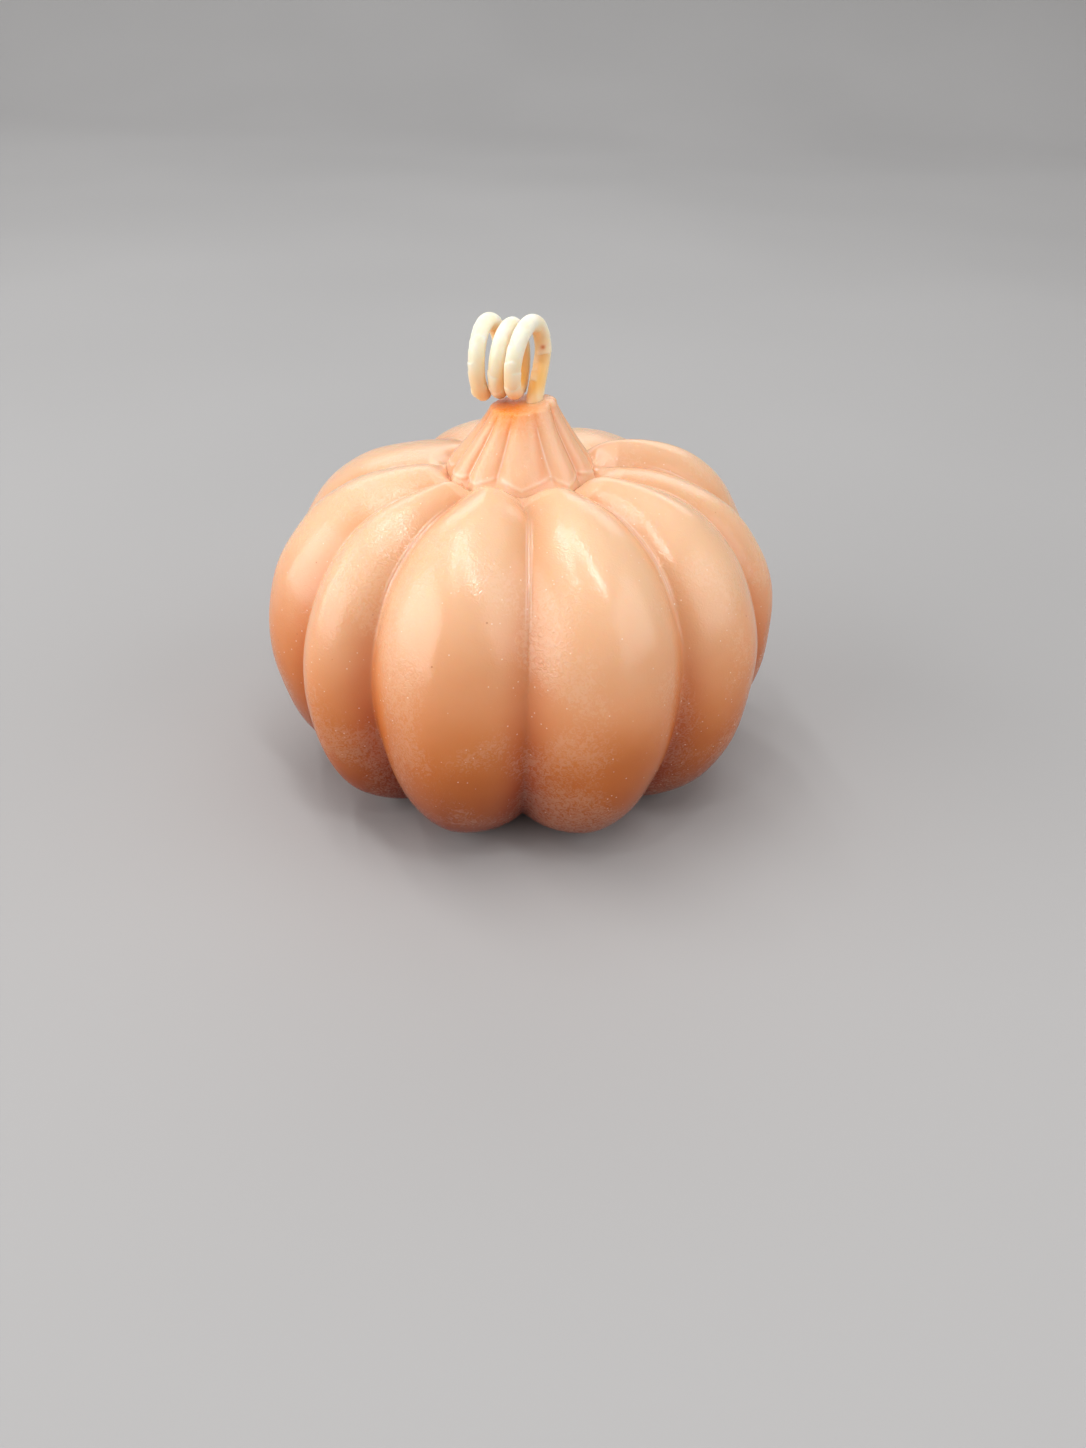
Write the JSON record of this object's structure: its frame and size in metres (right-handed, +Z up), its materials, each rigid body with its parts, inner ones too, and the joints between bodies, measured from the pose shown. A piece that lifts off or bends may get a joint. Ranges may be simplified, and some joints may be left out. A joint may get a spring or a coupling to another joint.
{
  "type": "pumpkin candle",
  "caption": "Wax candle cast as a ribbed pumpkin with a fluted stem, and a stiff waxed wick coiled above it.",
  "frame": {"origin": "middle of the whole outline, on the surface that the flat base rests on", "axes": "+Z up along the wick; -Y is the front, where the front crease faces; +X is the right of the front, and the wick's coil runs towards -X"},
  "size_m": [0.0884, 0.0876, 0.0801],
  "materials": {
    "peach_wax": "satin peach paraffin wax, slightly translucent, with fine ripples and a few pits",
    "wick": "cotton wick under a cracked coat of cream wax"
  },
  "bodies": {
    "root": {"wax_body": "peach_wax", "wick": "wick"}
  },
  "joints": []
}
